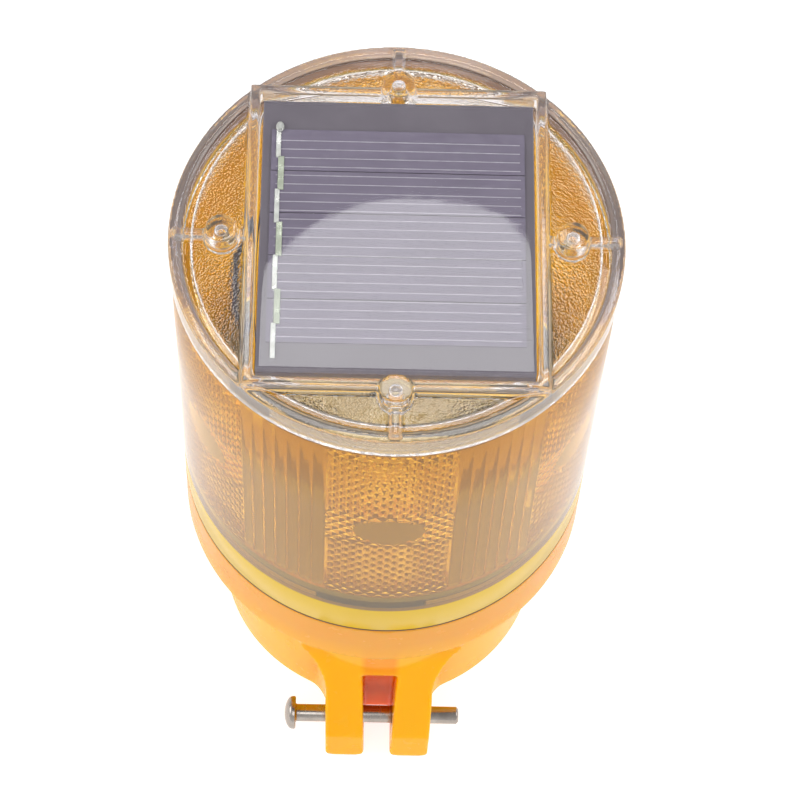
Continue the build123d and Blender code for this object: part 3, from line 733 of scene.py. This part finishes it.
def make_lens():
    """Amber tube: smooth outside, prism fields, windows and flutes moulded on the inside."""
    columns, rows = lens_columns(), lens_rows()
    outlines = [lens_outline(*column, rows) for column in columns]
    verts = []
    for (azimuth, _, _), line in zip(columns, outlines):
        a = math.radians(azimuth)
        verts += [(r * math.cos(a), r * math.sin(a), z) for r, z in line]
    size = len(outlines[0])
    first_row = 2 + len(FOOT_ROWS)
    first_milky = size - 4
    half_cells = [(z - RELIEF_LOW) / (RELIEF_HIGH - RELIEF_LOW) * HALF_ROWS for z in rows]
    faces, finish = [], []
    for i, (_, u, _) in enumerate(columns):
        n = (i + 1) % len(columns)
        for j in range(size):
            m = (j + 1) % size
            a, b, c, d = i * size + j, n * size + j, n * size + m, i * size + m
            k = j - first_row
            in_relief = 0 <= k < len(rows) - 1
            if not (in_relief and u >= 0):
                faces.append((a, d, c, b))
                finish.append(1 if in_relief else 2 if j >= first_milky else 0)
                continue
            if (math.floor(u + 1e-6) + math.floor(half_cells[k] + 1e-6)) % 2 == 0:
                faces += [(b, a, d), (b, d, c)]
            else:
                faces += [(a, d, c), (a, c, b)]
            finish += [1, 1]
    verts = np.array(verts)
    tube = add_piece("amber_tube", verts, faces, "head", amber_skin, ["amber_lens"], 24)
    tube.data.materials.append(amber_relief)
    tube.data.materials.append(amber_foot)
    tube.data.polygons.foreach_set("material_index", finish)
    return tube


# ---- clear cap ----
def make_cap():
    """The cap with its moulded edges rounded and its flat and turned faces true."""
    mesh = remeshed("clear_cap", 0.34, 3)
    inner_x, inner_y = FRAME_HALF_X - FRAME_WALL, FRAME_HALF_Y - FRAME_WALL
    plate_under = PLATE_TOP - PLATE_THICK
    levels = (PLATE_TOP, plate_under, RIM_TOP, RIM_TOP + 2.1, RIM_TOP - 1.6, RIM_TOP - 3.0)
    walls = [(r, CAP_SEAM, r, RIM_TOP) for r in (CAP_R, CAP_R - RIM_THICK)]
    walls += [(r, cap_low.z, r, plate_under) for r in (42.35, 40.7)]
    bosses = [(r, RIM_TOP - 3.2, r, cap_high.z) for r in (BOSS_R, BOSS_HOLE_R)]

    def settled(reach):
        points, normals = points_of(mesh), normals_of(mesh)
        snap_planes(points, normals, 2, levels, reach)
        snap_planes(points, normals, 0, (-FRAME_HALF_X, -inner_x, inner_x, FRAME_HALF_X), reach)
        snap_planes(points, normals, 1, (-FRAME_HALF_Y, -inner_y, inner_y, FRAME_HALF_Y), reach)
        snap_turned(points, normals, walls, reach)
        for place in ((BOSS_AT, 0), (-BOSS_AT, 0), (0, BOSS_AT), (0, -BOSS_AT)):
            snap_turned(points, normals, bosses, reach, place)
        points[:, 2] = np.clip(points[:, 2], cap_low.z, cap_high.z)
        put_points(mesh, points)
        return normals

    return dress("clear_top", mesh, "head", clear, ["clear_cap"], normals=settled(0.2))


# ---- solar panel ----
def make_epoxy():
    """Clear potting with a surface that crowns gently and rounds off at its edges."""
    half_x, half_y = epoxy_high.x, epoxy_high.y
    low, top = epoxy_low.z - 0.08, epoxy_high.z - 0.02
    edge_z, crown, fall = top - 0.4, 0.16, 0.13
    near = [0, 0.04, 0.09, 0.15, 0.22, 0.3, 0.4, 0.55, 0.8, 1.2, 2.0, 3.8]

    def spread(half):
        inner = np.linspace(-half + 6.5, half - 6.5, 9)
        return np.concatenate([[-half + d for d in near], inner, [half - d for d in reversed(near)]])

    xs, ys = spread(half_x), spread(half_y)
    verts, index = [], {}
    for i, x in enumerate(xs):
        for j, y in enumerate(ys):
            dx, dy = half_x - abs(x), half_y - abs(y)
            full = (1 - math.exp(-dx / fall)) * (1 - math.exp(-dy / fall))
            swell = crown * (1 - (x / half_x) ** 2) * (1 - (y / half_y) ** 2)
            wobble = 0.02 * noise.noise(Vector((x * 0.11, y * 0.11, 0.0)))
            z = edge_z + (top - crown - 0.03 - edge_z) * full + swell + wobble * full
            index[i, j] = len(verts)
            verts.append((x, y, min(z, top)))
    nx, ny = len(xs), len(ys)
    faces = [(index[i, j], index[i + 1, j], index[i + 1, j + 1], index[i, j + 1])
             for i in range(nx - 1) for j in range(ny - 1)]
    loop = [(i, 0) for i in range(nx - 1)] + [(nx - 1, j) for j in range(ny - 1)]
    loop += [(i, ny - 1) for i in range(nx - 1, 0, -1)] + [(0, j) for j in range(ny - 1, 0, -1)]
    below = []
    for key in loop:
        x, y, _ = verts[index[key]]
        below.append(len(verts))
        verts.append((x, y, low))
    for k in range(len(loop)):
        n = (k + 1) % len(loop)
        faces.append((index[loop[k]], below[k], below[n], index[loop[n]]))
    faces.append(tuple(reversed(below)))
    return add_piece("panel_potting", verts, faces, "head", epoxy, ["panel_epoxy"], 50)


def strip(x0, x1, y0, y1, z0, z1, soft):
    """A low flat bar with its upper edges sloped in."""
    verts = [(x, y, z0) for x, y in ((x0, y0), (x1, y0), (x1, y1), (x0, y1))]
    x0, x1, y0, y1 = x0 + soft, x1 - soft, y0 + soft, y1 - soft
    verts += [(x, y, z1) for x, y in ((x0, y0), (x1, y0), (x1, y1), (x0, y1))]
    faces = [(3, 2, 1, 0), (4, 5, 6, 7), (0, 1, 5, 4), (1, 2, 6, 5), (2, 3, 7, 6), (3, 0, 4, 7)]
    return verts, faces


def joined(parts):
    """The vertices and faces of several parts as one list of each."""
    verts, faces = [], []
    for part_verts, part_faces in parts:
        start = len(verts)
        verts += [tuple(v) for v in part_verts]
        faces += [tuple(k + start for k in face) for face in part_faces]
    return verts, faces


def make_fingers():
    """Silver finger lines printed across the cells."""
    z = cells_high.z
    left, right = cells_low.x + 1.0, cells_high.x - 0.7
    pitch = 2.02
    parts = []
    count = int((cells_high.y - cells_low.y) / pitch)
    for k in range(count):
        y = cells_low.y + 1.2 + k * pitch
        end = right - 0.5 * (0.5 + 0.5 * noise.noise(Vector((k * 1.7, 0.3, 0.0))))
        parts.append(strip(left, end, y - 0.1, y + 0.1, z - 0.02, z + 0.035, 0.02))
    verts, faces = joined(parts)
    return add_piece("finger_lines", verts, faces, "head", ink)


def make_ribbon():
    """Tinned ribbon pieces down the left of the cells, staggered, with a solder blob at the back."""
    z = cells_high.z + 0.03
    low, high = cells_low.y, cells_high.y
    x = cells_low.x + 1.7
    parts = []
    pieces = 7
    length = (high - low + 4.6) / pieces
    for k in range(pieces):
        y0 = low - 3.6 + k * length
        side = 0.3 if k % 2 else -0.3
        wide = 0.62 if k % 2 else 0.5
        parts.append(strip(x + side - wide, x + side + wide, y0, y0 + length + 0.25, z, z + 0.18, 0.06))
    verts, faces = joined(parts)
    dull = [1 if (k // len(parts[0][1])) % 2 else 0 for k in range(len(faces))]
    blob, blob_faces = turned([(0, 0), (0.5, 0.02), (0.85, 0.18), (0.7, 0.4), (0.35, 0.5), (0, 0.52)], 20)
    blob = [(vx + x - 0.1, vy * 1.5 + high + 0.5, vz + z) for vx, vy, vz in blob]
    verts, faces = joined([(verts, faces), (blob, blob_faces)])
    ribbon = add_piece("cell_ribbon", verts, faces, "head", tin, ["tab_ribbon"])
    ribbon.data.materials.append(tin_dull)
    ribbon.data.polygons.foreach_set("material_index", dull + [0] * len(blob_faces))
    return ribbon


# ---- locking pin ----
def make_pin():
    """Smooth pin: rounded mushroom head, ground shank, broken edge at the tip."""
    y, z = (pin_low.y + pin_high.y) / 2, (pin_low.z + pin_high.z) / 2
    head_r, head_h, shank_r = pin_high.z - z, 2.6, 2.0
    x0, x1 = pin_low.x, pin_high.x
    outline = [(0, x0 + 0.02)]
    for k in range(1, 9):
        a = math.radians(90 * k / 9)
        outline.append((head_r * math.sin(a), x0 + 0.02 + (head_h - 0.75) * (1 - math.cos(a))))
    outline += [(head_r, x0 + head_h - 0.6), (head_r, x0 + head_h - 0.25), (head_r - 0.25, x0 + head_h),
                (shank_r + 0.25, x0 + head_h), (shank_r, x0 + head_h + 0.25), (shank_r, x1 - 0.55),
                (shank_r - 0.1, x1 - 0.32), (shank_r - 0.45, x1), (0, x1)]
    verts, faces = turned(outline, 64)
    verts = np.stack([verts[:, 2], verts[:, 0] + y, verts[:, 1] + z], 1)
    return add_piece("steel_pin", verts, faces, "pin", steel, ["locking_pin"], 35)


# ---- studio ----
def make_floor():
    """A pale ground with a little light of its own."""
    paint = Paint("floor_white", (0.5, 0.5, 0.5), Roughness=0.7)
    paint.color(paint.ramp(paint.noise(6, 3), (0.48, 0.48, 0.48), (0.52, 0.52, 0.52)))
    paint.shader.inputs["Emission Color"].default_value = (1, 1, 1, 1)
    paint.shader.inputs["Emission Strength"].default_value = 0.78
    half, count = 3.0, 13
    side = np.linspace(-half, half, count)
    verts = [(x, y, 0) for x in side for y in side]
    corners = [i * count + j for i in range(count - 1) for j in range(count - 1)]
    faces = [(k, k + count, k + count + 1, k + 1) for k in corners]
    mesh = bpy.data.meshes.new("floor")
    mesh.from_pydata(verts, [], faces)
    mesh.materials.append(paint.material)
    floor = bpy.data.objects.new("floor", mesh)
    bpy.context.scene.collection.objects.link(floor)


DARK_TOWARD = (0.02, 0.46, 0.888)     # the part of the ceiling that the flat panel looks at


def make_world():
    """A white studio, bright at the horizon, with a darker patch of ceiling."""
    world = bpy.data.worlds.new("studio")
    bpy.context.scene.world = world
    world.use_nodes = True
    tree = world.node_tree
    back = next(n for n in tree.nodes if n.type == "BACKGROUND")
    coords = tree.nodes.new("ShaderNodeTexCoord")
    split = tree.nodes.new("ShaderNodeSeparateXYZ")
    ramp = tree.nodes.new("ShaderNodeValToRGB")
    ramp.color_ramp.elements[0].position = 0.3
    ramp.color_ramp.elements[0].color = (1.1, 1.1, 1.1, 1)
    ramp.color_ramp.elements[1].position = 0.95
    ramp.color_ramp.elements[1].color = (0.45, 0.45, 0.46, 1)
    tree.links.new(coords.outputs["Generated"], split.inputs[0])
    tree.links.new(split.outputs["Z"], ramp.inputs["Fac"])
    toward = tree.nodes.new("ShaderNodeVectorMath")
    toward.operation = "DOT_PRODUCT"
    toward.inputs[1].default_value = DARK_TOWARD
    tree.links.new(coords.outputs["Generated"], toward.inputs[0])
    dark = tree.nodes.new("ShaderNodeMapRange")
    dark.inputs["From Min"].default_value = 0.8
    dark.inputs["From Max"].default_value = 0.94
    dark.inputs["To Min"].default_value = 1.0
    dark.inputs["To Max"].default_value = 0.42
    tree.links.new(toward.outputs["Value"], dark.inputs["Value"])
    scale = tree.nodes.new("ShaderNodeVectorMath")
    scale.operation = "SCALE"
    tree.links.new(ramp.outputs["Color"], scale.inputs[0])
    tree.links.new(dark.outputs["Result"], scale.inputs["Scale"])
    tree.links.new(scale.outputs["Vector"], back.inputs["Color"])
    back.inputs["Strength"].default_value = 0.75


def add_light(name, place, aim, width, height, radiance, shape="RECTANGLE"):
    """A soft area light whose face has the given brightness."""
    light = bpy.data.lights.new(name, "AREA")
    light.shape = shape
    light.size, light.size_y = width, height
    area = width * height * (math.pi / 4 if shape == "ELLIPSE" else 1)
    light.energy = radiance * math.pi * area
    obj = bpy.data.objects.new(name, light)
    obj.location = place
    obj.rotation_mode = "QUATERNION"
    obj.rotation_quaternion = (Vector(place) - Vector(aim)).to_track_quat("Z", "Y")
    bpy.context.scene.collection.objects.link(obj)


CAMERA_PLACE = (-0.0129, -0.3081, 0.6772)
CAMERA_HEADING = 0.0504               # radians off the +Y direction
CAMERA_PITCH = math.radians(62.63)    # down from the horizon
CAMERA_ROLL = math.radians(3.78)
CAMERA_LENS = 139.7


def make_camera():
    """A long lens, high in front of the light."""
    data = bpy.data.cameras.new("camera")
    data.lens = CAMERA_LENS
    data.sensor_width = 36.0
    data.clip_start, data.clip_end = 0.02, 20
    camera = bpy.data.objects.new("camera", data)
    turn = Matrix.Rotation(-CAMERA_HEADING, 4, "Z")
    turn = turn @ Matrix.Rotation(math.pi / 2 - CAMERA_PITCH, 4, "X") @ Matrix.Rotation(CAMERA_ROLL, 4, "Z")
    camera.matrix_world = Matrix.Translation(CAMERA_PLACE) @ turn
    bpy.context.scene.collection.objects.link(camera)
    bpy.context.scene.camera = camera


make_base()
make_seal()
make_lens()
make_cap()
make_epoxy()
make_fingers()
make_ribbon()
make_pin()
make_floor()
make_world()
make_camera()
middle = (0, 0, 0.1)
add_light("panel_softbox", (0.055, 0.715, 1.6), (0.055, 0.715, 0), 0.35, 0.35, 5.2, "ELLIPSE")
add_light("front_softbox", (-0.2, -1.1, 1.9), middle, 1.3, 1.0, 1.8)
add_light("left_softbox", (-1.5, 0.0, 1.1), middle, 1.1, 1.2, 2.2)
add_light("right_softbox", (1.5, 0.1, 1.1), middle, 1.1, 1.2, 2.0)

view = bpy.context.scene.view_settings
view.view_transform = "Standard"
view.look = "None"
cycles = bpy.context.scene.cycles
cycles.max_bounces = 16
cycles.transmission_bounces = 16
cycles.transparent_max_bounces = 16
cycles.diffuse_bounces = 5
cycles.glossy_bounces = 6
cycles.caustics_reflective = False
cycles.caustics_refractive = False
